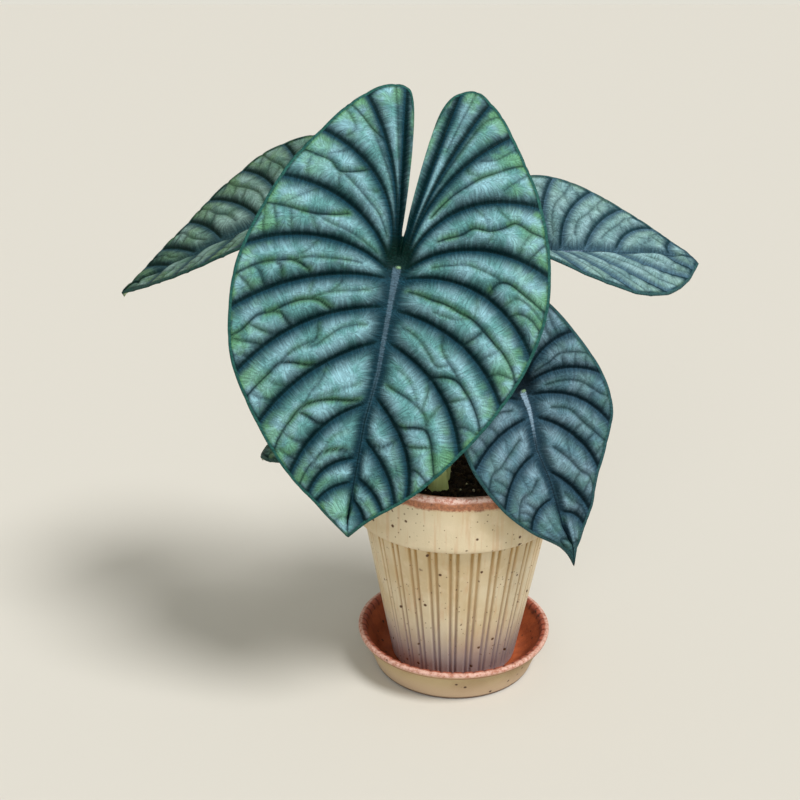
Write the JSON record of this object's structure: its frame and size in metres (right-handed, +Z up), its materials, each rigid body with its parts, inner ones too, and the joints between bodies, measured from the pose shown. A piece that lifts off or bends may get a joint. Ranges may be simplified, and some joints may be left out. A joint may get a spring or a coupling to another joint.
{
  "type": "potted alocasia plant",
  "caption": "House plant with large heart-shaped, deeply quilted silver-green leaves on arching stalks, in a fluted clay pot on a saucer.",
  "frame": {"origin": "middle of the saucer's underside, on the surface it stands on", "axes": "+Z up along the pot's axis, -Y towards the front that the largest leaf faces, +X to the right of that front"},
  "size_m": [0.3302, 0.1537, 0.3507],
  "materials": {
    "blade_silver": "leathery leaf, silver-green between dark veins",
    "blade_slate": "leathery leaf, slate blue-green between dark veins",
    "blade_pale": "leathery leaf, pale grey-teal between dark veins",
    "blade_dark": "leathery leaf, dark grey-green between dark veins",
    "stalk": "smooth pale green stalk with few dark speckles",
    "soil": "dark crumbly potting soil with pale grit",
    "pot_glaze": "speckled beige glaze over terracotta",
    "saucer_clay": "matt terracotta with a beige washed outside"
  },
  "bodies": {
    "root": {"saucer": "saucer_clay", "pot": "pot_glaze", "soil": "soil", "leaf_front": "blade_silver", "stalk_front": "stalk", "leaf_small": "blade_slate", "stalk_small": "stalk", "leaf_right": "blade_pale", "stalk_right": "stalk", "leaf_left": "blade_dark", "stalk_left": "stalk", "leaf_low": "blade_dark", "stalk_low": "stalk"}
  },
  "joints": []
}
